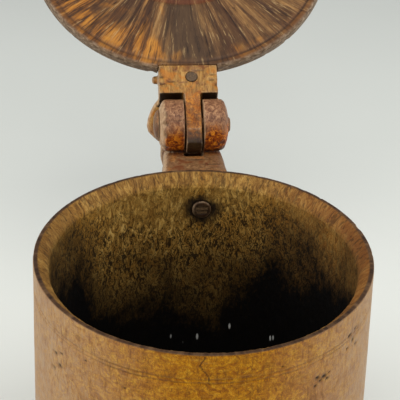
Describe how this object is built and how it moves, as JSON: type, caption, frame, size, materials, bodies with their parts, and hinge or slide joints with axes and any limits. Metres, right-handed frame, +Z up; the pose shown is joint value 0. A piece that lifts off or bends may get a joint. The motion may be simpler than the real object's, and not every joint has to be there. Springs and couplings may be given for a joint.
{
  "type": "lidded wooden tankard",
  "caption": "Turned wooden drinking tankard with a pegged C-shaped handle and a hinged lid with a thumb rest, lid leaning open.",
  "frame": {"origin": "centre of the bottom board's underside, on the body's turning axis, at the surface the tankard stands on", "axes": "+Z up along the body's axis, +Y from the body's axis towards the handle and the lid hinge, +X across the hinge"},
  "size_m": [0.1658, 0.3607, 0.2667],
  "materials": {
    "body_burl": "aged satin",
    "lid_wood": "worn satin",
    "carved_wood": "hand-worn satin",
    "peg_wood": "dull"
  },
  "bodies": {
    "tankard": {"body_wall": "body_burl", "bottom_board": "body_burl", "handle": "carved_wood", "hinge_pin": "carved_wood", "upper_tenon_wedge": "peg_wood", "upper_tenon_thin_wedge": "peg_wood", "lower_tenon_wedge": "peg_wood"},
    "lid": {"lid_disc": "lid_wood", "lid_arm": "carved_wood", "arm_tab_peg": "peg_wood", "strap_peg_outer": "peg_wood", "strap_peg_inner": "peg_wood"}
  },
  "joints": [
    {"name": "lid_hinge", "type": "hinge", "parent": "tankard", "child": "lid", "pos_m": [0.0024, 0.1125, 0.16], "axis": [-1, 0, 0], "range_deg": [-149, 0]}
  ]
}
